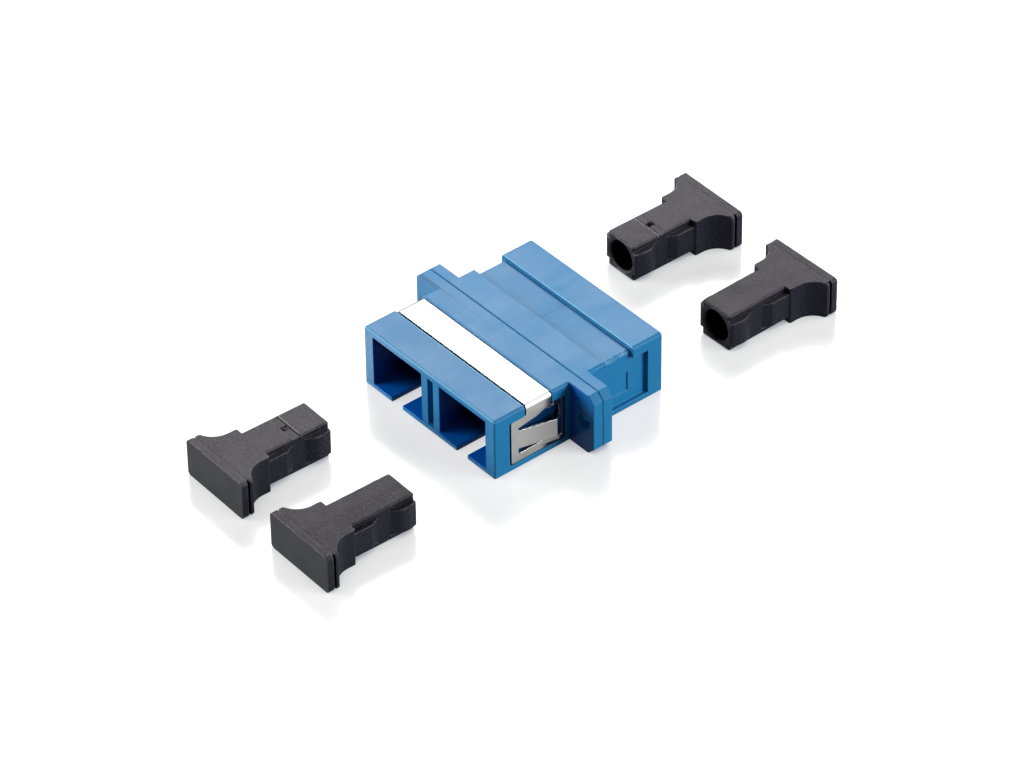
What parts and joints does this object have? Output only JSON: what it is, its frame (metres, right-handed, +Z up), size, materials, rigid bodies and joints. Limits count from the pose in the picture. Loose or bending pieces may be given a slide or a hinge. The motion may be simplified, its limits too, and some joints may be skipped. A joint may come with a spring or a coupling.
{
  "type": "duplex fibre adapter",
  "caption": "Blue two-port push-pull fibre adapter: split flanged housing, ears with screw holes, folded steel panel clip, latch inserts and sleeves inside, black dust plugs lying beside it.",
  "frame": {"origin": "middle of the two flange holes, on the flange face that a panel rests against", "axes": "+X across the flange, +Y along the ports away from the clip side, +Z up from the flat side with the keyways"},
  "size_m": [0.0344, 0.0834, 0.009],
  "materials": {
    "blue_plastic": "moulded satin blue",
    "insert_plastic": "moulded satin blue",
    "sleeve_ceramic": "ground white",
    "spring_steel": "bright rolled sheet",
    "black_plastic": "fine eroded black"
  },
  "bodies": {
    "root": {"front_housing": "blue_plastic", "rear_housing": "blue_plastic", "front_left_insert": "insert_plastic", "front_right_insert": "insert_plastic", "rear_left_insert": "insert_plastic", "rear_right_insert": "insert_plastic", "left_sleeve": "sleeve_ceramic", "right_sleeve": "sleeve_ceramic", "panel_clip": "spring_steel", "dust_plug_front_left": "black_plastic", "dust_plug_front_right": "black_plastic", "dust_plug_rear_left": "black_plastic", "dust_plug_rear_right": "black_plastic"}
  },
  "joints": []
}
